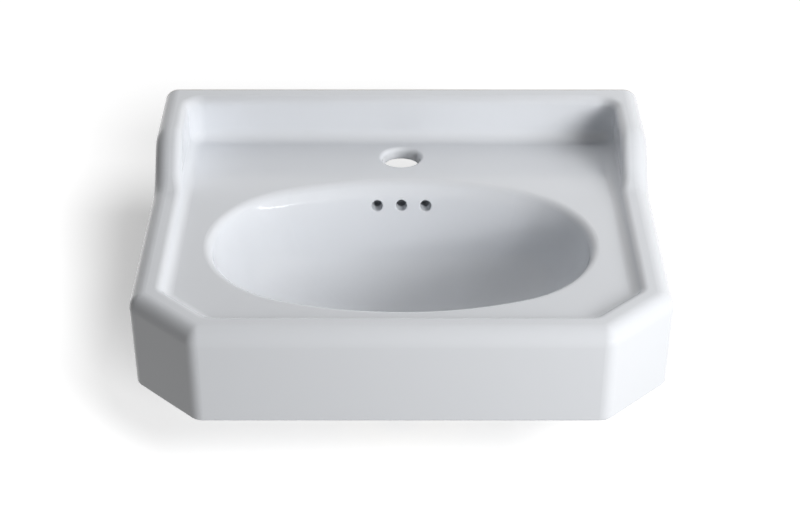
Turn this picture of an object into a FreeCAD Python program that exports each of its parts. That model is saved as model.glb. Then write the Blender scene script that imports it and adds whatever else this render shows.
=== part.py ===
import FreeCAD, Part
import os
import Sketcher
from FreeCAD import Vector

# Wall-hung washbasin with a push-plug waste.
# X runs along the wall, +Y points into the wall, +Z is up.
# The origin lies on the wall plane, midway between the two fixing holes.

SIZES = {
    # outline of the casting
    "basin_width": 451,
    "basin_depth": 368,
    "corner_cut": 56,
    "corner_radius": 15,
    "ceramic_wall": 11,
    # heights, all measured from the deck, which lies above the fixing holes
    "deck_height": 50,
    "rim_rise": 8,
    "upstand_rise": 43.5,
    "apron_drop": 79.5,
    # rim and deck
    "rim_band": 16,
    "apron_lean": 1.5,
    "nose_radius": 14,
    "rim_width": 25,
    "rim_inner_radius": 8,
    "cove_radius": 11,
    "deck_corner_radius": 14,
    "apron_edge_radius": 2,
    # upstand and wings
    "upstand_thickness": 19,
    "wing_length": 90,
    "wing_run": 33,
    "shoulder_radius": 28,
    "sweep_radius": 34,
    # bowl, with the margins from its opening to the outer faces and to the wall
    "bowl_side": 60.5,
    "bowl_front": 49,
    "bowl_rear": 100,
    "bowl_depth": 110,
    "bowl_floor": 74,
    "bowl_wall": 10,
    "rear_roll": 9,
    "lip_radius": 8,
    # tap hole
    "tap_hole": 35,
    "tap_setback": 55,
    "tap_lip_radius": 4,
    # overflow
    "overflow_hole": 10,
    "overflow_pitch": 22.4,
    "overflow_drop": 21.5,
    "overflow_edge_radius": 1.2,
    "duct_width": 62,
    "duct_clear": 9,
    "duct_wall": 6,
    # wall fixing
    "bolt_spacing": 280,
    "bolt_hole": 13,
    "pad_thickness": 14,
    "back_opening": 200,
    "rail_drop": 10,
    "opening_radius": 14,
    # waste outlet of the casting, behind the middle of the bowl
    "drain_lead": 9.5,
    "recess_diameter": 66,
    "recess_depth": 4,
    "waste_hole": 46,
    "boss_diameter": 80,
    "boss_height": 30,
    # waste body
    "flange_diameter": 63,
    "flange_thickness": 4,
    "flange_edge": 2,
    "throat_diameter": 39,
    "waste_bore": 35,
    "neck_diameter": 40.4,
    "tail_diameter": 41.9,
    "tail_length": 20,
    "slot_width": 12,
    "slot_top": 8,
    "slot_height": 14,
    "bar_drop": 26,
    "bar_thickness": 5,
    "bar_width": 7,
    "hub_diameter": 16,
    # seals, washer and nut
    "flange_seal_thickness": 2,
    "seal_thickness": 5,
    "seal_nose": 3,
    "seal_diameter": 58,
    "slip_thickness": 1.5,
    "slip_diameter": 56,
    "nut_height": 9,
    "nut_flats": 50,
    # plug
    "plug_travel": 9,
    "plug_diameter": 41,
    "dome_rise": 5,
    "dome_edge": 1.2,
    "skirt_diameter": 32,
    "skirt_height": 6.6,
    "ring_section": 3.5,
    "ring_stand_out": 1.9,
    "stem_diameter": 6,
    "stem_grip": 8,
    # latch
    "sleeve_diameter": 19,
    "sleeve_wall": 2.8,
    "sleeve_top": 3,
    "core_foot": 2,
    "core_web": 2,
    "spring_diameter": 8,
    "spring_wire": 1,
    "pin_diameter": 2,
    "pin_lift": 7,
    "groove_depth": 1.5,
    "screw_diameter": 5,
    "screw_grip": 6,
    "screw_head": 9,
    "screw_head_height": 3,
    # clearances
    "seal_clearance": 0.4,
    "slide_clearance": 0.2,
    "thread_clearance": 0.05,
    # shared by all cuts
    "overrun": 5,
}

# Bowl sections from the lip down to the flat floor: share of the depth, of the narrowing from opening to
# floor that is still to come, of the way back to the drain, of the roll of the rear lip, and of the wall by
# which the outside sags
BOWL_DEPTH_SHARES = (0.0, 0.045, 0.09, 0.15, 0.26, 0.58, 0.82, 0.95, 1.0)
BOWL_WIDTH_SHARES = (1.0, 0.995, 0.989, 0.979, 0.955, 0.80, 0.50, 0.20, 0.0)
BOWL_DRIFT_SHARES = (0.0, 0.02, 0.04, 0.06, 0.1, 0.4, 0.75, 0.95, 1.0)
BOWL_ROLL_SHARES = (0.0, 0.42, 0.69, 0.88, 1.0, 0.95, 0.7, 0.35, 0.0)
BOWL_SAG_SHARES = (0.0, 0.0, 0.0, 0.05, 0.1, 0.35, 0.8, 1.0, 1.0)

# Sections that the bowl's outside follows, which leave out those of the rolled lip
OUTSIDE_SECTIONS = (0, 4, 5, 6, 7, 8)

# Radius of the bowl's round ends as a share of half its breadth, and the floor's length as a share of its
# breadth
OVAL_END_SHARE = 0.88
FLOOR_LENGTH_SHARE = 1.18

# Places closer than this are the same place
ROUNDING = 1e-4

# Faces that turn by more than this many radians at an edge leave it sharp
SHARP_TURN = 0.17

# Part of an edge's length that has to be rise for the edge to count as upright
UPRIGHT_SHARE = 0.999

doc = FreeCAD.newDocument("washbasin")
sheet = doc.addObject("Spreadsheet::Sheet", "dims")
for row, (alias, size) in enumerate(SIZES.items(), 1):
    sheet.set(f"A{row}", alias)
    sheet.set(f"B{row}", str(size))
    sheet.setAlias(f"B{row}", alias)
doc.recompute()

# Levels and places that several pieces share, as expressions on the sheet
DECK = "dims.deck_height"
CREST = "(dims.deck_height + dims.rim_rise)"
TOP = "(dims.deck_height + dims.upstand_rise)"
BOTTOM = "(dims.deck_height - dims.apron_drop)"
CREASE = f"({CREST} - dims.rim_band)"
CEILING = "(dims.deck_height - dims.ceramic_wall)"
BOWL_LENGTH = "(dims.basin_width - 2 * dims.bowl_side)"
BOWL_BREADTH = "(dims.basin_depth - dims.bowl_front - dims.bowl_rear)"
BOWL_MIDDLE = "((dims.bowl_front - dims.basin_depth - dims.bowl_rear) / 2)"
BOWL_FLOOR = "(dims.deck_height - dims.bowl_depth)"
DRAIN = f"({BOWL_MIDDLE} + dims.drain_lead)"
SEAT = f"({BOWL_FLOOR} - dims.recess_depth)"

# Levels of the waste, measured from the seat of its flange
FLANGE_UNDER = "dims.flange_seal_thickness"
FLANGE_TOP = f"({FLANGE_UNDER} + dims.flange_thickness)"
SEAL_UNDER = "(-dims.boss_height - dims.seal_thickness)"
SLIP_UNDER = f"({SEAL_UNDER} - dims.slip_thickness)"
NUT_UNDER = f"({SLIP_UNDER} - dims.nut_height)"
TAIL_END = f"({NUT_UNDER} - dims.tail_length)"
BAR_TOP = "(-dims.bar_drop)"
BAR_UNDER = f"({BAR_TOP} - dims.bar_thickness)"
PLUG_RIM = f"({FLANGE_TOP} + dims.plug_travel + dims.seal_clearance)"
SLEEVE_TOP = f"({PLUG_RIM} - dims.skirt_height)"
SLEEVE_CEILING = f"({SLEEVE_TOP} - dims.sleeve_top)"
CORE_TOP = f"({SLEEVE_CEILING} - dims.plug_travel - 2 * dims.seal_clearance)"
SLEEVE_END = f"({BAR_TOP} + dims.core_foot + dims.plug_travel + 2 * dims.seal_clearance)"
SCREW_TIP = f"({BAR_TOP} + dims.screw_grip)"
SPRING_FLOOR = f"({SCREW_TIP} + dims.core_web)"
PIN_LEVEL = f"({SLEEVE_END} + dims.pin_lift)"
RING_LEVEL = f"({PLUG_RIM} - dims.skirt_height / 2)"
RING_OUTSIDE = "(dims.skirt_diameter / 2 + dims.ring_stand_out)"
CORE_RADIUS = "(dims.sleeve_diameter / 2 - dims.sleeve_wall - dims.slide_clearance)"
STEM_HOLE = "(dims.stem_diameter / 2 + dims.thread_clearance)"
SCREW_HOLE = "(dims.screw_diameter / 2 + dims.thread_clearance)"


def number(expression):
    """Number that an expression on the sheet comes to."""
    return float(sheet.evalExpression(expression))


def origin_plane(body, role):
    """Origin plane of a body by its role."""
    return next(plane for plane in body.Origin.OriginFeatures if plane.Role == role)


def new_body(name):
    """Body whose label names the piece."""
    body = doc.addObject("PartDesign::Body", name)
    body.Label = name
    return body


def waste_piece(name):
    """Body that stands on the waste's axis with its zero at the flange's seat."""
    body = new_body(name)
    body.setExpression("Placement.Base.y", DRAIN)
    body.setExpression("Placement.Base.z", SEAT)
    return body


def new_sketch(body, name, role, offset="0"):
    """Sketch on an origin plane, moved along the plane's normal."""
    sketch = body.newObject("Sketcher::SketchObject", name)
    sketch.AttachmentSupport = [(origin_plane(body, role), "")]
    sketch.MapMode = "FlatFace"
    sketch.setExpression("AttachmentOffset.Base.z", offset)
    return sketch


def fix_point(sketch, edge, end, across, along):
    """Tie a point of the sketch to two expressions."""
    for kind, expression in (("DistanceX", across), ("DistanceY", along)):
        index = sketch.addConstraint(Sketcher.Constraint(kind, edge, end, number(expression)))
        sketch.setExpression(f"Constraints[{index}]", expression)


def bulge(start, end, radius):
    """Arc from start to end that turns to the left with the given radius."""
    chord = end - start
    left = Vector(-chord.y, chord.x, 0).normalize()
    rise = radius - (radius ** 2 - chord.Length ** 2 / 4) ** 0.5
    return Part.Arc(start, (start + end) / 2 - left * rise, end)


def polygon(body, name, role, corners, offset="0", arcs=None):
    """Closed outline through the given corners; arcs gives the radius of edges that are round."""
    sketch = new_sketch(body, name, role, offset)
    points = [Vector(number(across), number(along), 0) for across, along in corners]
    rounds = arcs or {}
    count = len(points)
    for i in range(count):
        ends = (points[i], points[(i + 1) % count])
        edge = bulge(*ends, number(rounds[i])) if i in rounds else Part.LineSegment(*ends)
        sketch.addGeometry(edge, False)
    for i in range(count):
        sketch.addConstraint(Sketcher.Constraint("Coincident", i, 2, (i + 1) % count, 1))
    for i, (across, along) in enumerate(corners):
        fix_point(sketch, i, 1, across, along)
    for i, radius in rounds.items():
        index = sketch.addConstraint(Sketcher.Constraint("Radius", i, number(radius)))
        sketch.setExpression(f"Constraints[{index}]", radius)
    return sketch


def circles(body, name, role, places, diameter, offset="0"):
    """Circles of one diameter at the given places."""
    sketch = new_sketch(body, name, role, offset)
    for across, along in places:
        centre = Vector(number(across), number(along), 0)
        edge = sketch.addGeometry(Part.Circle(centre, Vector(0, 0, 1), number(diameter) / 2), False)
        fix_point(sketch, edge, 3, across, along)
        index = sketch.addConstraint(Sketcher.Constraint("Diameter", edge, number(diameter)))
        sketch.setExpression(f"Constraints[{index}]", diameter)
    return sketch


def oval(body, name, length, breadth, centre, offset):
    """Oval of four arcs in a level plane, longer along X and fuller than an ellipse."""
    end_radius = f"({breadth} / 2 * {OVAL_END_SHARE})"
    shift = f"({length} / 2 - {end_radius})"
    rise = f"({breadth} / 2 - {end_radius})"
    side_radius = f"(({shift} ^ 2 + ({breadth} / 2) ^ 2 - {end_radius} ^ 2) / (2 * {rise}))"
    reach = f"({side_radius} - {end_radius})"
    across = f"({shift} * {side_radius} / {reach})"
    along = f"({end_radius} * ({side_radius} - {breadth} / 2) / {reach})"
    front = f"({centre} - {along})"
    rear = f"({centre} + {along})"
    corners = [(across, front), (across, rear), (f"(-{across})", rear), (f"(-{across})", front)]
    arcs = {0: end_radius, 1: side_radius, 2: end_radius, 3: side_radius}
    return polygon(body, name, "XY_Plane", corners, offset, arcs)


def feature(body, kind, name, sketch, **settings):
    """Feature on a sketch; settings that are text are bound as expressions."""
    made = body.newObject(f"PartDesign::{kind}", name)
    made.Profile = sketch
    for setting, wanted in settings.items():
        if setting in ("Length", "Angle"):
            made.setExpression(setting, wanted)
        else:
            setattr(made, setting, wanted)
    doc.recompute()
    return made


def pad(body, name, sketch, length, **settings):
    """Material added above a sketch."""
    return feature(body, "Pad", name, sketch, Length=length, **settings)


def pocket(body, name, sketch, length, **settings):
    """Material cut below a sketch; the cut has to take something away."""
    before = body.Shape.Volume
    made = feature(body, "Pocket", name, sketch, Length=length, **settings)
    if body.Shape.Volume >= before:
        raise RuntimeError(f"{name} cuts nothing")
    return made


def loft(body, kind, name, sections, ruled=False):
    """Loft through the sections in order, smooth unless it is ruled."""
    made = body.newObject(f"PartDesign::{kind}", name)
    made.Profile = sections[0]
    made.Sections = sections[1:]
    made.Ruled = ruled
    doc.recompute()
    return made


def revolve(body, name, corners, kind="Revolution", arcs=None):
    """Solid of revolution about the body's upright axis; corners are radius and height."""
    sketch = polygon(body, f"{name}_profile", "XZ_Plane", corners, arcs=arcs)
    made = body.newObject(f"PartDesign::{kind}", name)
    made.Profile = sketch
    made.ReferenceAxis = (sketch, ["V_Axis"])
    doc.recompute()
    return made


def ring(name, inside, outside, low, high):
    """Plain ring on the waste's axis between two radii and two levels."""
    body = waste_piece(name)
    revolve(body, f"{name}_ring", [(inside, low), (outside, low), (outside, high), (inside, high)])


def middle_of(edge):
    """Point halfway along an edge."""
    return edge.valueAt((edge.FirstParameter + edge.LastParameter) / 2)


def is_sharp(shape, edge):
    """Whether the two faces at an edge meet at an angle."""
    point = middle_of(edge)
    normals = []
    for face in shape.ancestorsOfType(edge, Part.Face):
        normals.append(face.normalAt(*face.Surface.parameter(point)))
    return len(normals) == 2 and normals[0].getAngle(normals[1]) > SHARP_TURN


def round_edges(body, name, radius, wanted):
    """Fillet on the sharp edges whose middle passes the test."""
    base = body.Tip
    shape = base.Shape
    names = []
    for index, edge in enumerate(shape.Edges, 1):
        if wanted(middle_of(edge), edge) and is_sharp(shape, edge):
            names.append(f"Edge{index}")
    made = body.newObject("PartDesign::Fillet", name)
    made.Base = (base, names)
    made.setExpression("Radius", radius)
    doc.recompute()
    return made


def is_upright(edge):
    """Whether an edge runs along Z."""
    run = edge.Vertexes[-1].Point - edge.Vertexes[0].Point
    return abs(run.z) > UPRIGHT_SHARE * run.Length


def near(place, wanted):
    """Whether a place is the wanted one but for rounding."""
    return abs(place - wanted) < ROUNDING


def outline(inset, back):
    """Corners of the plan, drawn in from the outer faces by an inset; back is the rear edge."""
    side = f"(dims.basin_width / 2 - {inset})"
    front = f"(-dims.basin_depth + {inset})"
    mitre = f"{inset} * tan(22.5 deg)"
    cut_back = f"(-dims.basin_depth + dims.corner_cut + {mitre})"
    cut_side = f"(dims.basin_width / 2 - dims.corner_cut - {mitre})"
    right = [(side, back), (side, cut_back), (cut_side, front)]
    left = [(f"-{across}", along) for across, along in reversed(right)]
    return right + left


def rounded_outline(inset):
    """Corners of the plan with its front corners rounded, and the radius of each round edge."""
    (side, back), (_, cut_back), (cut_side, front) = outline(inset, "0")[:3]
    reach = "dims.corner_radius * tan(22.5 deg)"
    slant = f"{reach} * cos(45 deg)"
    right = [
        (f"({cut_side} - {reach})", front),
        (f"({cut_side} + {slant})", f"({front} + {slant})"),
        (f"({side} - {slant})", f"({cut_back} - {slant})"),
        (side, f"({cut_back} + {reach})"),
        (side, back),
    ]
    left = [(f"-{across}", along) for across, along in reversed(right)]
    corners = right + left
    arc_starts = (right[0], right[2], left[1], left[3])
    return corners, {corners.index(start): "dims.corner_radius" for start in arc_starts}


def edge_inset(point):
    """How far a point lies inside the outer faces of the plan."""
    half = number("dims.basin_width / 2")
    depth = number("dims.basin_depth")
    reach = half + depth - number("dims.corner_cut")
    across = half - abs(point.x)
    ahead = depth + point.y
    corner = (reach - abs(point.x) + point.y) / 2 ** 0.5
    return min(across, ahead, corner)


def bowl_section(index):
    """Length, breadth, centre and level of a section of the bowl's inside."""
    width = BOWL_WIDTH_SHARES[index]
    floor = f"(dims.bowl_floor * {FLOOR_LENGTH_SHARE})"
    length = f"({floor} + ({BOWL_LENGTH} - {floor}) * {width})"
    roll = f"dims.rear_roll * {BOWL_ROLL_SHARES[index]}"
    breadth = f"(dims.bowl_floor + ({BOWL_BREADTH} - dims.bowl_floor) * {width} - {roll})"
    centre = f"({BOWL_MIDDLE} + dims.drain_lead * {BOWL_DRIFT_SHARES[index]} - {roll} / 2)"
    level = f"({DECK} - dims.bowl_depth * {BOWL_DEPTH_SHARES[index]})"
    return length, breadth, centre, level


def bowl_loft(body, kind, name, sections, wall, top):
    """Loft through sections of the bowl, moved out by a wall, with the first of them at the given level."""
    sketches = []
    for index in sections:
        length, breadth, centre, level = bowl_section(index)
        drop = f"({level} - {wall} * {BOWL_SAG_SHARES[index]})" if index else top
        sketches.append(oval(body, f"{name}_{index}", f"({length} + 2 * {wall})",
                                f"({breadth} + 2 * {wall})", centre, drop))
    loft(body, kind, name, sketches)


def behind_bowl(index, distance):
    """Point behind the bowl's outside at a section, in the plane of symmetry."""
    length, breadth, centre, level = bowl_section(index)
    return (f"({centre} + {breadth} / 2 + dims.bowl_wall + {distance})",
            f"({level} - dims.bowl_wall * {BOWL_SAG_SHARES[index]})")


def shape_rim(body):
    """Outer form: leaning apron, rim, sunk deck, upstand and wings."""
    inner = number("dims.rim_width") / 2
    deck_level = number(DECK)
    crest_level = number(CREST)
    bottom_level = number(BOTTOM)
    near_crest = crest_level - number("dims.rim_rise") / 2
    foot_corners, foot_rounds = rounded_outline("dims.apron_lean")
    rim_corners, rim_rounds = rounded_outline("0")
    foot = polygon(body, "foot_outline", "XY_Plane", foot_corners, BOTTOM, foot_rounds)
    crease = polygon(body, "crease_outline", "XY_Plane", rim_corners, CREASE, rim_rounds)
    loft(body, "AdditiveLoft", "apron", [foot, crease], ruled=True)
    rim = polygon(body, "rim_outline", "XY_Plane", rim_corners, CREASE, rim_rounds)
    pad(body, "rim", rim, f"{TOP} - {CREASE}")
    round_edges(body, "apron_edge", "dims.apron_edge_radius",
                lambda point, edge: near(point.z, bottom_level) and point.y < -inner)
    deck = polygon(body, "deck_outline", "XY_Plane",
                   outline("dims.rim_width", "-dims.upstand_thickness"), DECK)
    pocket(body, "deck", deck, "dims.upstand_rise + dims.overrun", Reversed=True)
    round_edges(body, "deck_corners", "dims.deck_corner_radius",
                lambda point, edge: is_upright(edge) and edge_inset(point) > inner)
    round_edges(body, "cove", "dims.cove_radius",
                lambda point, edge: near(point.z, deck_level) and edge_inset(point) > inner)
    shoulder = number("-dims.wing_length")
    wing_foot = number("-dims.wing_length - dims.wing_run")
    wing_end = "(-dims.wing_length - dims.wing_run)"
    ahead = "(-dims.basin_depth - dims.overrun)"
    above = f"({TOP} + dims.overrun)"
    profile = polygon(body, "wing_profile", "YZ_Plane",
                      [("-dims.wing_length", TOP), (wing_end, CREST), (ahead, CREST), (ahead, above),
                       ("-dims.wing_length", above)])
    pocket(body, "wings", profile, "dims.basin_width + dims.overrun", SideType="Symmetric")
    round_edges(body, "shoulders", "dims.shoulder_radius", lambda point, edge: near(point.y, shoulder))
    round_edges(body, "sweeps", "dims.sweep_radius",
                lambda point, edge: near(point.y, wing_foot) and near(point.z, crest_level))
    round_edges(body, "nose", "dims.nose_radius",
                lambda point, edge: point.z > near_crest and edge_inset(point) < inner and point.y < -ROUNDING)
    round_edges(body, "rim_inner", "dims.rim_inner_radius",
                lambda point, edge: point.z > near_crest and edge_inset(point) > inner and point.y < -ROUNDING)


def shape_underside(body):
    """Hollow below the deck, open at the back between the two fixing pads."""
    wall = "(dims.apron_lean + dims.ceramic_wall)"
    hollow = polygon(body, "hollow_outline", "XY_Plane", outline(wall, "-dims.pad_thickness"), BOTTOM)
    pocket(body, "hollow", hollow, f"{CEILING} - {BOTTOM}", Reversed=True)
    side = "dims.back_opening / 2"
    roof = f"({CEILING} - dims.rail_drop)"
    below = f"({BOTTOM} - dims.overrun)"
    through = "2 * (dims.pad_thickness + dims.overrun)"
    gap = polygon(body, "opening_outline", "XZ_Plane",
                  [(side, below), (side, roof), (f"-{side}", roof), (f"-{side}", below)])
    pocket(body, "back_opening", gap, through, SideType="Symmetric")
    roof_level = number(roof)
    edge_place = number(side)
    round_edges(body, "opening_corners", "dims.opening_radius",
                lambda point, edge: near(point.z, roof_level) and near(abs(point.x), edge_place))
    holes = circles(body, "bolt_holes_outline", "XZ_Plane",
                    [("-dims.bolt_spacing / 2", "0"), ("dims.bolt_spacing / 2", "0")], "dims.bolt_hole")
    pocket(body, "bolt_holes", holes, through, SideType="Symmetric")


def shape_bowl(body):
    """Bowl with its outside, the boss for the waste and the duct that joins overflow and waste hole."""
    inside_deck = f"({DECK} - dims.ceramic_wall / 2)"
    boss_under = f"({SEAT} - dims.boss_height)"
    bowl_loft(body, "AdditiveLoft", "belly", OUTSIDE_SECTIONS, "dims.bowl_wall", inside_deck)
    drain = ("0", DRAIN)
    boss = circles(body, "boss_outline", "XY_Plane", [drain], "dims.boss_diameter", boss_under)
    pad(body, "boss", boss, "dims.boss_height")
    follow = OUTSIDE_SECTIONS[1:-1]
    skin = "(dims.duct_clear + dims.duct_wall)"
    rear = [behind_bowl(index, skin) for index in follow]
    front = [behind_bowl(index, "(-dims.bowl_wall / 2)") for index in reversed(follow)]
    boss_rear = f"({DRAIN} + dims.boss_diameter / 2)"
    cover = [(rear[0][0], inside_deck)] + rear
    cover += [(boss_rear, boss_under), (DRAIN, boss_under), (DRAIN, SEAT)]
    cover += front + [(front[-1][0], inside_deck)]
    outer = polygon(body, "duct_outline", "YZ_Plane", cover)
    pad(body, "duct", outer, "dims.duct_width", SideType="Symmetric")
    duct_roof = f"({DECK} - dims.overflow_drop + dims.overflow_hole)"
    passage_roof = f"({SEAT} - dims.bowl_wall)"
    passage_floor = f"({passage_roof} - dims.duct_clear)"
    rear = [behind_bowl(index, "dims.duct_clear") for index in follow]
    front = [behind_bowl(index, "0") for index in reversed(follow)]
    clear = [(rear[0][0], duct_roof)] + rear
    clear += [(boss_rear, passage_floor), (DRAIN, passage_floor), (DRAIN, passage_roof)]
    clear += front + [(front[-1][0], duct_roof)]
    inner = polygon(body, "duct_clear_outline", "YZ_Plane", clear)
    pocket(body, "duct_clear", inner, "dims.duct_width - 2 * dims.duct_wall", SideType="Symmetric")
    sections = range(len(BOWL_DEPTH_SHARES))
    bowl_loft(body, "SubtractiveLoft", "bowl", sections, "0", f"({DECK} + dims.overrun)")
    deck_level = number(DECK)
    round_edges(body, "lip", "dims.lip_radius", lambda point, edge: near(point.z, deck_level))
    recess = circles(body, "recess_outline", "XY_Plane", [drain], "dims.recess_diameter", BOWL_FLOOR)
    pocket(body, "recess", recess, "dims.recess_depth")
    outlet = circles(body, "waste_hole_outline", "XY_Plane", [drain], "dims.waste_hole", SEAT)
    pocket(body, "waste_hole", outlet, "dims.boss_height + dims.overrun")


def shape_holes(body):
    """Tap hole and the three overflow holes."""
    deck_level = number(DECK)
    tap = circles(body, "tap_hole_outline", "XY_Plane", [("0", "-dims.tap_setback")], "dims.tap_hole", DECK)
    pocket(body, "tap_hole", tap, "dims.ceramic_wall + dims.overrun")
    round_edges(body, "tap_lip", "dims.tap_lip_radius", lambda point, edge: near(point.z, deck_level))
    height = f"({DECK} - dims.overflow_drop)"
    inside = f"(-({behind_bowl(OUTSIDE_SECTIONS[1], '0')[0]} - dims.bowl_wall - 2 * dims.overrun))"
    row = [("-dims.overflow_pitch", height), ("0", height), ("dims.overflow_pitch", height)]
    holes = circles(body, "overflow_outline", "XZ_Plane", row, "dims.overflow_hole", inside)
    pocket(body, "overflow", holes, "2 * dims.overrun + dims.bowl_wall + dims.duct_clear / 2")
    level = number(height)
    hole = number("dims.overflow_hole")
    reach = number("dims.overflow_pitch") + hole
    inner_face = number(f"{behind_bowl(OUTSIDE_SECTIONS[1], '0')[0]} - dims.bowl_wall / 2")
    round_edges(body, "overflow_edge", "dims.overflow_edge_radius",
                lambda point, edge: abs(point.z - level) < hole and abs(point.x) < reach
                and inner_face - hole < point.y < inner_face)


def build_basin():
    """The casting."""
    body = new_body("ceramic_basin")
    shape_rim(body)
    shape_underside(body)
    shape_bowl(body)
    shape_holes(body)
    return body


def build_waste_body():
    """Waste with flange, coned throat, slots for the overflow water and a bar that carries the latch."""
    body = waste_piece("waste_body")
    revolve(body, "shell", [
        ("dims.neck_diameter / 2", FLANGE_UNDER),
        ("dims.neck_diameter / 2", NUT_UNDER),
        ("dims.tail_diameter / 2", NUT_UNDER),
        ("dims.tail_diameter / 2", TAIL_END),
        ("dims.waste_bore / 2", TAIL_END),
        ("dims.waste_bore / 2", "0"),
        ("dims.throat_diameter / 2", FLANGE_TOP),
        ("dims.flange_diameter / 2", f"{FLANGE_UNDER} + dims.flange_edge"),
        ("dims.flange_diameter / 2", FLANGE_UNDER),
    ])
    side = "dims.slot_width / 2"
    low = "(-dims.slot_top - dims.slot_height)"
    window = [(f"-{side}", low), (side, low), (side, "-dims.slot_top"), (f"-{side}", "-dims.slot_top")]
    for role in ("XZ_Plane", "YZ_Plane"):
        slot = polygon(body, f"slot_{role}", role, window)
        pocket(body, f"slots_{role}", slot, "dims.flange_diameter", SideType="Symmetric")
    reach = "(dims.waste_bore + dims.neck_diameter) / 4"
    half = "dims.bar_width / 2"
    bar = polygon(body, "bar_outline", "XY_Plane",
                  [(f"-{reach}", f"-{half}"), (reach, f"-{half}"), (reach, half), (f"-{reach}", half)],
                  BAR_UNDER)
    pad(body, "bar", bar, "dims.bar_thickness")
    hub = circles(body, "hub_outline", "XY_Plane", [("0", "0")], "dims.hub_diameter", BAR_UNDER)
    pad(body, "hub", hub, "dims.bar_thickness")
    hole = circles(body, "screw_hole_outline", "XY_Plane", [("0", "0")], f"2 * {SCREW_HOLE}", BAR_TOP)
    pocket(body, "screw_hole", hole, "dims.bar_thickness + dims.overrun")


def build_seals():
    """Rings above and below the casting's boss."""
    neck = "(dims.neck_diameter / 2 + dims.thread_clearance)"
    ring("flange_seal", "(dims.waste_hole / 2 + dims.seal_clearance)",
         "(dims.flange_diameter / 2 - dims.seal_clearance)", "0", FLANGE_UNDER)
    ring("slip_washer", neck, "dims.slip_diameter / 2", SLIP_UNDER, SEAL_UNDER)
    body = waste_piece("tapered_seal")
    boss_under = "(-dims.boss_height)"
    nose_top = "(-dims.boss_height + dims.seal_nose)"
    revolve(body, "taper", [
        (neck, SEAL_UNDER),
        ("dims.seal_diameter / 2", SEAL_UNDER),
        ("dims.seal_diameter / 2", boss_under),
        ("(dims.waste_hole / 2 - dims.seal_clearance)", boss_under),
        (f"({neck} + dims.waste_hole / 2) / 2", nose_top),
        (neck, nose_top),
    ])


def build_backnut():
    """Six-sided nut with bevelled corners."""
    body = waste_piece("backnut")
    flat = "dims.nut_flats / 2"
    half = f"{flat} * tan(30 deg)"
    tip = f"{flat} / cos(30 deg)"
    hexagon = polygon(body, "hexagon", "XY_Plane",
                      [(flat, f"-{half}"), (flat, half), ("0", tip), (f"-{flat}", half),
                       (f"-{flat}", f"-{half}"), ("0", f"-{tip}")], NUT_UNDER)
    pad(body, "nut", hexagon, "dims.nut_height")
    hole = circles(body, "nut_hole_outline", "XY_Plane", [("0", "0")],
                   "dims.neck_diameter + 2 * dims.thread_clearance", SLIP_UNDER)
    pocket(body, "nut_hole", hole, "dims.nut_height + dims.overrun")
    bevel = f"({NUT_UNDER} + ({tip} - {flat}) / 2)"
    revolve(body, "nut_bevel", [(flat, NUT_UNDER), (tip, NUT_UNDER), (tip, bevel)], kind="Groove")


def build_plug():
    """Domed plug, its sealing ring and the stud below it."""
    groove_half = "(dims.ring_section / 2 + dims.thread_clearance)"
    groove_floor = f"({RING_OUTSIDE} - dims.ring_section - dims.thread_clearance)"
    dome_foot = f"({PLUG_RIM} + dims.dome_edge)"
    dome_radius = "(((dims.plug_diameter / 2) ^ 2 + dims.dome_rise ^ 2) / (2 * dims.dome_rise))"
    stem_top = f"({SLEEVE_TOP} + dims.stem_grip)"
    hole_top = f"({stem_top} + dims.thread_clearance)"
    cap = waste_piece("plug_cap")
    revolve(cap, "dome", [
        (STEM_HOLE, SLEEVE_TOP),
        ("dims.skirt_diameter / 2", SLEEVE_TOP),
        ("dims.skirt_diameter / 2", f"{RING_LEVEL} - {groove_half}"),
        (groove_floor, f"{RING_LEVEL} - {groove_half}"),
        (groove_floor, f"{RING_LEVEL} + {groove_half}"),
        ("dims.skirt_diameter / 2", f"{RING_LEVEL} + {groove_half}"),
        ("dims.skirt_diameter / 2", PLUG_RIM),
        ("dims.plug_diameter / 2", PLUG_RIM),
        ("dims.plug_diameter / 2", dome_foot),
        ("0", f"{dome_foot} + dims.dome_rise"),
        ("0", hole_top),
        (STEM_HOLE, hole_top),
    ], arcs={8: dome_radius})
    seal = waste_piece("plug_seal")
    middle = f"({RING_OUTSIDE} - dims.ring_section / 2)"
    section = circles(seal, "ring_section", "XZ_Plane", [(middle, RING_LEVEL)], "dims.ring_section")
    turned = seal.newObject("PartDesign::Revolution", "seal_ring")
    turned.Profile = section
    turned.ReferenceAxis = (section, ["V_Axis"])
    stem = waste_piece("plug_stem")
    radius = "dims.stem_diameter / 2"
    revolve(stem, "stud", [("0", SLEEVE_CEILING), (radius, SLEEVE_CEILING), (radius, stem_top),
                           ("0", stem_top)])


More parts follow.
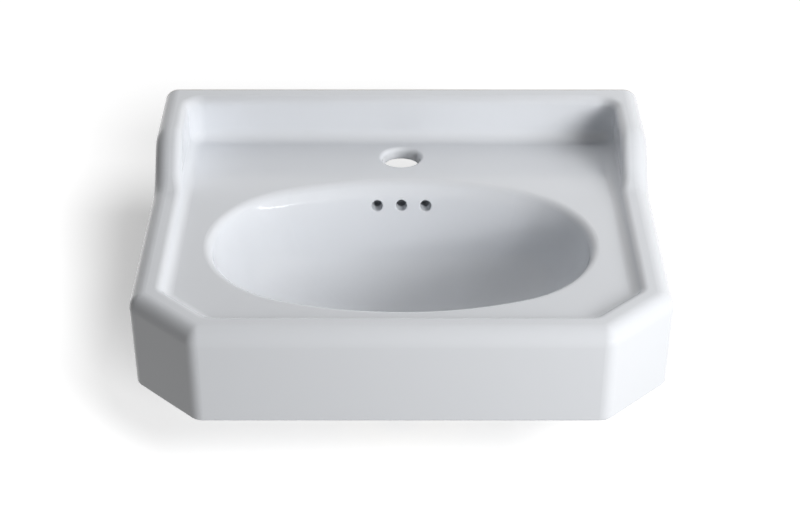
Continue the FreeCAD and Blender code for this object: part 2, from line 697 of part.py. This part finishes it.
def build_latch():
    """Push latch: sleeve and pin go down with the plug, core and screw stay, the spring lies between."""
    sleeve = waste_piece("latch_sleeve")
    inside = "(dims.sleeve_diameter / 2 - dims.sleeve_wall)"
    outside = "dims.sleeve_diameter / 2"
    revolve(sleeve, "cover", [
        (STEM_HOLE, SLEEVE_CEILING), (inside, SLEEVE_CEILING), (inside, SLEEVE_END),
        (outside, SLEEVE_END), (outside, SLEEVE_TOP), (STEM_HOLE, SLEEVE_TOP),
    ])
    hole = circles(sleeve, "pin_hole_outline", "YZ_Plane", [("0", PIN_LEVEL)],
                   "dims.pin_diameter + 2 * dims.thread_clearance")
    pocket(sleeve, "pin_hole", hole, "dims.sleeve_diameter", Reversed=True)
    core = waste_piece("latch_core")
    bore = "(dims.spring_diameter / 2 + dims.slide_clearance)"
    hole_top = f"({SCREW_TIP} + dims.thread_clearance)"
    foot_top = f"({BAR_TOP} + dims.core_foot)"
    revolve(core, "post", [
        (SCREW_HOLE, BAR_TOP), ("dims.hub_diameter / 2", BAR_TOP), ("dims.hub_diameter / 2", foot_top),
        (CORE_RADIUS, foot_top), (CORE_RADIUS, CORE_TOP), (bore, CORE_TOP), (bore, SPRING_FLOOR),
        ("0", SPRING_FLOOR), ("0", hole_top), (SCREW_HOLE, hole_top),
    ])
    play = "(dims.pin_diameter / 2 + dims.slide_clearance)"
    groove_floor = f"({CORE_RADIUS} - dims.groove_depth)"
    low = f"({PIN_LEVEL} - dims.plug_travel - {play})"
    high = f"({PIN_LEVEL} + {play})"
    track = polygon(core, "track_outline", "YZ_Plane",
                    [(f"-{play}", low), (play, low), (play, high), (f"-{play}", high)], groove_floor)
    pocket(core, "track", track, "dims.groove_depth + dims.overrun", Reversed=True)
    pin = waste_piece("latch_pin")
    tip = f"({groove_floor} + dims.slide_clearance)"
    end = circles(pin, "pin_outline", "YZ_Plane", [("0", PIN_LEVEL)], "dims.pin_diameter", tip)
    pad(pin, "pin", end, f"{outside} - {tip}")
    ring("latch_spring", "(dims.spring_diameter / 2 - dims.spring_wire)", "dims.spring_diameter / 2",
         SPRING_FLOOR, SLEEVE_CEILING)
    screw = waste_piece("latch_screw")
    shank = "dims.screw_diameter / 2"
    head = "dims.screw_head / 2"
    under = f"({BAR_UNDER} - dims.screw_head_height)"
    revolve(screw, "screw", [("0", under), (head, under), (head, BAR_UNDER), (shank, BAR_UNDER),
                             (shank, SCREW_TIP), ("0", SCREW_TIP)])


def write_parts():
    """Check every object, then write one file for each piece."""
    doc.recompute()
    for item in doc.Objects:
        if "Invalid" in item.State or "Error" in item.State:
            raise RuntimeError(f"{item.Name} failed: {item.State}")
    pieces = doc.findObjects("PartDesign::Body")
    for piece in pieces:
        if piece.Shape.isNull() or not piece.Shape.isValid() or len(piece.Shape.Solids) != 1:
            raise RuntimeError(f"{piece.Label} is not one sound solid")
    os.makedirs("parts", exist_ok=True)
    for piece in pieces:
        piece.Shape.exportStep(f"parts/{piece.Label}.step")


build_basin()
build_waste_body()
build_seals()
build_backnut()
build_plug()
build_latch()
write_parts()
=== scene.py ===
import bpy
import math
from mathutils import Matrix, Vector


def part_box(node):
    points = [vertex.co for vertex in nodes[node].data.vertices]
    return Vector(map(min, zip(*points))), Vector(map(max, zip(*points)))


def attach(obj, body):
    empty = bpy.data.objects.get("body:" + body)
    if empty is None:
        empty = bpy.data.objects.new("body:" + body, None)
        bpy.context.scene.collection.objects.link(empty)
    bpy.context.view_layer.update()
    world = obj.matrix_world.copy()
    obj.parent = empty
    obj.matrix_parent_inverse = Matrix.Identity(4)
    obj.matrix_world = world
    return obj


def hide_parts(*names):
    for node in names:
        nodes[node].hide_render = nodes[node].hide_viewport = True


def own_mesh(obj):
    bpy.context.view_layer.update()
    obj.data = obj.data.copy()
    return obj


# Wall-hung washbasin in a white studio. Metres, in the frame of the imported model:
# X along the wall, +Y into the wall, +Z up, the origin midway between the fixing holes.

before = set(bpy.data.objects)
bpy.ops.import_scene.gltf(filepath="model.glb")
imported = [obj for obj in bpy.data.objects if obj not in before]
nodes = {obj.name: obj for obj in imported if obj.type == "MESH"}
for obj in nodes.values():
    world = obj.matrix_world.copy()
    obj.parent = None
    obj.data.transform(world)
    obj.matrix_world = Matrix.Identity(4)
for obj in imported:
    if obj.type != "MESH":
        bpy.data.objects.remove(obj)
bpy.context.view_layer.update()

# Levels of the casting that have no glaze, how far the glaze stays clear of them, and its uneven edge
WALL_PLANE = 0.0
APRON_FOOT = -0.0295
BOSS_FOOT = -0.094
GLAZE_EDGE = 0.0012
GLAZE_WANDER = 0.0005

# Height of a face's direction below which the face looks down
LOOKS_DOWN = -0.8

# Level of the studio's floor and half of its width
FLOOR_LEVEL = -0.150
FLOOR_HALF = 6.0

# Own light of the floor where it is seen, and the share of light that it sends back to the basin
FLOOR_GLOW = 0.51
FLOOR_RETURN = 0.28


# Node helpers

def new_material(name):
    """Material with an empty tree, its output and its shader."""
    made = bpy.data.materials.new(name)
    made.use_nodes = True
    tree = made.node_tree
    tree.nodes.clear()
    output = tree.nodes.new("ShaderNodeOutputMaterial")
    shader = tree.nodes.new("ShaderNodeBsdfPrincipled")
    tree.links.new(shader.outputs["BSDF"], output.inputs["Surface"])
    return made, tree, shader


def add(tree, kind, settings=None, **inputs):
    """Node with its properties and inputs set. An input goes by name or as i0, i1; a socket is linked."""
    node = tree.nodes.new(f"ShaderNode{kind}")
    for key, wanted in (settings or {}).items():
        setattr(node, key, wanted)
    for key, wanted in inputs.items():
        numbered = key[0] == "i" and key[1:].isdigit()
        socket = node.inputs[int(key[1:]) if numbered else key]
        if isinstance(wanted, bpy.types.NodeSocket):
            tree.links.new(wanted, socket)
        else:
            socket.default_value = wanted
    return node


def math_node(tree, operation, first, second=0.0, third=0.0):
    """Output of a math node."""
    return add(tree, "Math", {"operation": operation}, i0=first, i1=second, i2=third).outputs[0]


def place(tree):
    """Position in the frame of the model, as a vector and as three sockets."""
    coordinates = tree.nodes.new("ShaderNodeTexCoord")
    split = add(tree, "SeparateXYZ", Vector=coordinates.outputs["Object"])
    return coordinates.outputs["Object"], split.outputs


def noise(tree, vector, scale, detail=2.0, roughness=0.5):
    """Noise value between zero and one."""
    return add(tree, "TexNoise", Vector=vector, Scale=scale, Detail=detail, Roughness=roughness).outputs[0]


def spread(tree, value, low, high, start=0.3, end=0.7):
    """Value mapped from start and end to low and high."""
    return add(tree, "MapRange", i0=value, i1=start, i2=end, i3=low, i4=high).outputs[0]


def blend_colours(tree, share, first, second):
    """Mix of two colours."""
    return add(tree, "Mix", {"data_type": "RGBA"}, i0=share, i6=first, i7=second).outputs[2]


def blend_values(tree, share, first, second):
    """Mix of two values."""
    return add(tree, "Mix", {"data_type": "FLOAT"}, i0=share, i2=first, i3=second).outputs[0]


def bump(tree, shader, height, distance, strength=1.0):
    """Bump from a height between zero and one."""
    made = add(tree, "Bump", Height=height, Distance=distance, Strength=strength)
    tree.links.new(made.outputs["Normal"], shader.inputs["Normal"])


def seen_rays(tree):
    """One for rays that show the background, and zero for those that light the basin."""
    rays = tree.nodes.new("ShaderNodeLightPath")
    mirrored = math_node(tree, "MAXIMUM", rays.outputs["Is Glossy Ray"], rays.outputs["Is Transmission Ray"])
    return math_node(tree, "MAXIMUM", rays.outputs["Is Camera Ray"], mirrored)


def link(tree, output, shader, name):
    """Link to an input of the shader by its name."""
    tree.links.new(output, shader.inputs[name])


# Materials

def glazed_china():
    """White glaze with a faint flow, bare body on the wall face, the apron's foot and the boss's foot."""
    made, tree, shader = new_material("glazed_china")
    vector, (_, y, z) = place(tree)
    wander = spread(tree, noise(tree, vector, scale=90.0, detail=3.0), -GLAZE_WANDER, GLAZE_WANDER)
    behind = math_node(tree, "GREATER_THAN", math_node(tree, "ADD", y, wander), WALL_PLANE - GLAZE_EDGE)
    below = math_node(tree, "LESS_THAN", math_node(tree, "ADD", z, wander), BOSS_FOOT + GLAZE_EDGE)
    near_foot = math_node(tree, "COMPARE", math_node(tree, "ADD", z, wander), APRON_FOOT, GLAZE_EDGE)
    geometry = tree.nodes.new("ShaderNodeNewGeometry")
    facing = add(tree, "SeparateXYZ", Vector=geometry.outputs["Normal"]).outputs[2]
    foot = math_node(tree, "MULTIPLY", near_foot, math_node(tree, "LESS_THAN", facing, LOOKS_DOWN))
    bare = math_node(tree, "MAXIMUM", math_node(tree, "MAXIMUM", behind, below), foot)
    flow = noise(tree, vector, scale=7.0)
    white = blend_colours(tree, flow, (0.828, 0.850, 0.886, 1), (0.842, 0.863, 0.898, 1))
    grain = noise(tree, vector, scale=900.0, detail=4.0, roughness=0.7)
    body = blend_colours(tree, grain, (0.66, 0.63, 0.57, 1), (0.78, 0.76, 0.71, 1))
    link(tree, blend_colours(tree, bare, white, body), shader, "Base Color")
    gloss = spread(tree, noise(tree, vector, scale=24.0), low=0.055, high=0.095)
    dull = spread(tree, grain, low=0.75, high=0.92)
    link(tree, blend_values(tree, bare, gloss, dull), shader, "Roughness")
    peel = noise(tree, vector, scale=55.0, detail=1.0)
    bump(tree, shader, blend_values(tree, bare, peel, grain), distance=0.00012, strength=0.6)
    shader.inputs["IOR"].default_value = 1.54
    return made


def plated(name, dark, light, smoothest, roughest):
    """Plated metal with fine polishing lines round the waste's axis."""
    made, tree, shader = new_material(name)
    vector, _ = place(tree)
    stretched = add(tree, "Mapping", Vector=vector, Scale=(40.0, 40.0, 2600.0)).outputs[0]
    lines = noise(tree, stretched, scale=1.0, detail=3.0, roughness=0.6)
    cloud = noise(tree, vector, scale=60.0, detail=3.0)
    link(tree, blend_colours(tree, cloud, dark, light), shader, "Base Color")
    mixed = math_node(tree, "MULTIPLY", math_node(tree, "ADD", lines, cloud), 0.5)
    link(tree, spread(tree, mixed, smoothest, roughest), shader, "Roughness")
    bump(tree, shader, lines, distance=0.00001, strength=0.5)
    shader.inputs["Metallic"].default_value = 1.0
    return made


def moulded(name, dark, light, smoothest, roughest, grain_scale, depth):
    """Moulded plastic or rubber with a fine grain."""
    made, tree, shader = new_material(name)
    vector, _ = place(tree)
    grain = noise(tree, vector, grain_scale, detail=4.0, roughness=0.6)
    cloud = noise(tree, vector, scale=80.0)
    link(tree, blend_colours(tree, cloud, dark, light), shader, "Base Color")
    link(tree, spread(tree, grain, smoothest, roughest), shader, "Roughness")
    bump(tree, shader, grain, depth, strength=0.6)
    return made


china = glazed_china()
chrome = plated("chrome_plate", (0.52, 0.526, 0.535, 1), (0.58, 0.586, 0.595, 1),
                smoothest=0.05, roughest=0.14)
brass = plated("turned_brass", (0.62, 0.46, 0.20, 1), (0.74, 0.57, 0.28, 1),
               smoothest=0.18, roughest=0.34)
steel = plated("stainless_steel", (0.52, 0.52, 0.53, 1), (0.64, 0.64, 0.65, 1),
               smoothest=0.16, roughest=0.30)
rubber = moulded("black_rubber", (0.012, 0.012, 0.013, 1), (0.030, 0.030, 0.031, 1),
                 smoothest=0.55, roughest=0.75, grain_scale=1500.0, depth=0.00006)
nylon = moulded("white_nylon", (0.66, 0.65, 0.61, 1), (0.76, 0.75, 0.71, 1),
                smoothest=0.35, roughest=0.50, grain_scale=1100.0, depth=0.00003)
acetal = moulded("grey_acetal", (0.16, 0.17, 0.18, 1), (0.22, 0.23, 0.24, 1),
                 smoothest=0.30, roughest=0.45, grain_scale=1100.0, depth=0.00003)

FINISH = {
    "ceramic_basin": china,
    "waste_body": chrome,
    "plug_cap": chrome,
    "backnut": brass,
    "plug_stem": brass,
    "flange_seal": rubber,
    "tapered_seal": rubber,
    "plug_seal": rubber,
    "slip_washer": nylon,
    "latch_sleeve": acetal,
    "latch_core": nylon,
    "latch_pin": steel,
    "latch_spring": steel,
    "latch_screw": steel,
}
for name, finish in FINISH.items():
    mesh = nodes[name].data
    mesh.materials.clear()
    mesh.materials.append(finish)


# Spring of the latch, which the plug presses together

SPRING_WIRE = 0.001
SPRING_TURNS = 6
STEPS_IN_TURN = 24
SIDES_OF_WIRE = 10


def coil_mesh(low, high):
    """Wire wound upwards inside the box between two corners."""
    centre_x, centre_y, _ = (Vector(low) + Vector(high)) / 2
    radius = (high[0] - low[0] - SPRING_WIRE) / 2
    climb = high[2] - low[2] - SPRING_WIRE
    steps = SPRING_TURNS * STEPS_IN_TURN
    points = []
    for step in range(steps + 1):
        turn = math.tau * step / STEPS_IN_TURN
        level = low[2] + SPRING_WIRE / 2 + climb * step / steps
        for side in range(SIDES_OF_WIRE):
            round_wire = math.tau * side / SIDES_OF_WIRE
            reach = radius + SPRING_WIRE / 2 * math.cos(round_wire)
            points.append((centre_x + reach * math.cos(turn), centre_y + reach * math.sin(turn),
                           level + SPRING_WIRE / 2 * math.sin(round_wire)))
    faces = []
    for step in range(steps):
        ring = step * SIDES_OF_WIRE
        above = ring + SIDES_OF_WIRE
        for side in range(SIDES_OF_WIRE):
            beside = (side + 1) % SIDES_OF_WIRE
            faces.append((ring + side, above + side, above + beside, ring + beside))
    last = steps * SIDES_OF_WIRE
    faces.append(tuple(range(SIDES_OF_WIRE)))
    faces.append(tuple(reversed(range(last, last + SIDES_OF_WIRE))))
    mesh = bpy.data.meshes.new("latch_coil")
    mesh.from_pydata(points, [], faces)
    mesh.shade_smooth()
    mesh.materials.append(steel)
    return mesh


spring_low, spring_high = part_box("latch_spring")
coil = bpy.data.objects.new("latch_coil", coil_mesh(spring_low, spring_high))
bpy.context.scene.collection.objects.link(coil)
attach(coil, "basin")
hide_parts("latch_spring")
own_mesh(coil)


# Stage

def floor_material():
    """Matt white paper that shows as white and keeps the shadow."""
    made, tree, paper = new_material("white_paper")
    vector, _ = place(tree)
    tooth = noise(tree, vector, scale=700.0, detail=3.0)
    white = blend_colours(tree, tooth, (0.86, 0.86, 0.86, 1), (0.88, 0.88, 0.88, 1))
    seen = seen_rays(tree)
    returned = (FLOOR_RETURN, FLOOR_RETURN, FLOOR_RETURN, 1)
    link(tree, blend_colours(tree, seen, returned, white), paper, "Base Color")
    paper.inputs["Roughness"].default_value = 0.9
    paper.inputs["Specular IOR Level"].default_value = 0.0
    glow = add(tree, "Emission", Color=(FLOOR_GLOW, FLOOR_GLOW, FLOOR_GLOW, 1), Strength=seen)
    sheet = add(tree, "AddShader", i0=paper.outputs["BSDF"], i1=glow.outputs[0])
    tree.links.new(sheet.outputs[0], tree.nodes["Material Output"].inputs["Surface"])
    return made


def make_floor():
    """Large level sheet below the basin."""
    mesh = bpy.data.meshes.new("floor")
    corners = [(across * FLOOR_HALF, along * FLOOR_HALF, FLOOR_LEVEL)
               for across, along in ((-1, -1), (1, -1), (1, 1), (-1, 1))]
    mesh.from_pydata(corners, [], [(0, 1, 2, 3)])
    mesh.materials.append(floor_material())
    floor = bpy.data.objects.new("floor", mesh)
    bpy.context.scene.collection.objects.link(floor)
    return floor


floor = make_floor()


# Light

# Middle of the basin, at which the lamps aim, and their distance from it
TARGET = Vector((0.0, -0.18, 0.03))
LAMP_DISTANCE = 1.9


def hang(data, azimuth, elevation, receivers):
    """Lamp that faces the basin and lights the receivers. Azimuth is the angle from +X towards the front."""
    turn = math.radians(azimuth)
    rise = math.radians(elevation)
    away = Vector((math.cos(rise) * math.cos(turn), -math.cos(rise) * math.sin(turn), math.sin(rise)))
    lamp = bpy.data.objects.new(data.name, data)
    bpy.context.scene.collection.objects.link(lamp)
    lamp.location = TARGET + away * LAMP_DISTANCE
    lamp.rotation_mode = "QUATERNION"
    lamp.rotation_quaternion = away.to_track_quat("Z", "Y")
    lamp.visible_camera = False
    lamp.visible_glossy = data.name in SHOWN_IN_GLAZE
    lamp.light_linking.receiver_collection = receivers


def floor_group(name):
    """Group that holds the floor, for lamps to light or to leave out."""
    made = bpy.data.collections.new(name)
    made.objects.link(floor)
    return made


# Lamps on the basin: name, azimuth, elevation, width, height, power
LAMPS = (
    ("key", 45, 20, 1.20, 0.40, 15.5),
    ("key_low", 60, 10, 0.60, 0.40, 7.5),
    ("key_high", 42, 32, 0.90, 0.40, 5.5),
    ("side", 0, 28, 0.50, 0.50, 4.0),
    ("left", 200, 60, 0.90, 0.90, 1.0),
    ("rear_left", 250, 35, 0.90, 0.90, 4.0),
    ("top_left", 250, 60, 0.90, 0.90, 3.0),
    ("rear_right", 300, 35, 0.90, 0.90, 7.0),
    ("top_right", 300, 60, 0.90, 0.90, 4.0),
    ("strip", 42, 5.0, 1.40, 0.06, 2.4),
)

# The one that draws a bright line on the bowl's lip
SHOWN_IN_GLAZE = ("strip",)

# Light on the floor alone, which lays the soft shadow beside the basin: name, azimuth, elevation, strength
SWEEPS = (
    ("sweep_low", 74, 25, 2.3),
    ("sweep_high", 62, 42, 1.7),
)
SWEEP_SPREAD = math.radians(15)

away_from_floor = floor_group("away_from_floor")
away_from_floor.collection_objects[0].light_linking.link_state = "EXCLUDE"
for name, azimuth, elevation, width, height, power in LAMPS:
    soft_box = bpy.data.lights.new(name, "AREA")
    soft_box.shape = "RECTANGLE"
    soft_box.size = width
    soft_box.size_y = height
    soft_box.energy = power
    hang(soft_box, azimuth, elevation, away_from_floor)

on_floor = floor_group("on_floor")
for name, azimuth, elevation, strength in SWEEPS:
    sweep = bpy.data.lights.new(name, "SUN")
    sweep.energy = strength
    sweep.angle = SWEEP_SPREAD
    hang(sweep, azimuth, elevation, on_floor)

world = bpy.data.worlds.new("studio")
world.use_nodes = True
background = world.node_tree.nodes["Background"]
background.inputs["Color"].default_value = (1.0, 1.0, 1.0, 1)
seen = seen_rays(world.node_tree)
world.node_tree.links.new(seen, background.inputs["Strength"])
bpy.context.scene.world = world


# Camera

CAMERA_PLACE = (-0.0012, -1.6245, 0.889)
CAMERA_DIP = math.radians(31.4)
CAMERA_LENS = 85.0
CAMERA_SENSOR = 36.0

camera_data = bpy.data.cameras.new("camera")
camera_data.sensor_width = CAMERA_SENSOR
camera_data.lens = CAMERA_LENS
camera = bpy.data.objects.new("camera", camera_data)
camera.location = CAMERA_PLACE
camera.rotation_euler = (math.pi / 2 - CAMERA_DIP, 0.0, 0.0)
bpy.context.scene.collection.objects.link(camera)
bpy.context.scene.camera = camera
bpy.context.scene.view_settings.view_transform = "Standard"
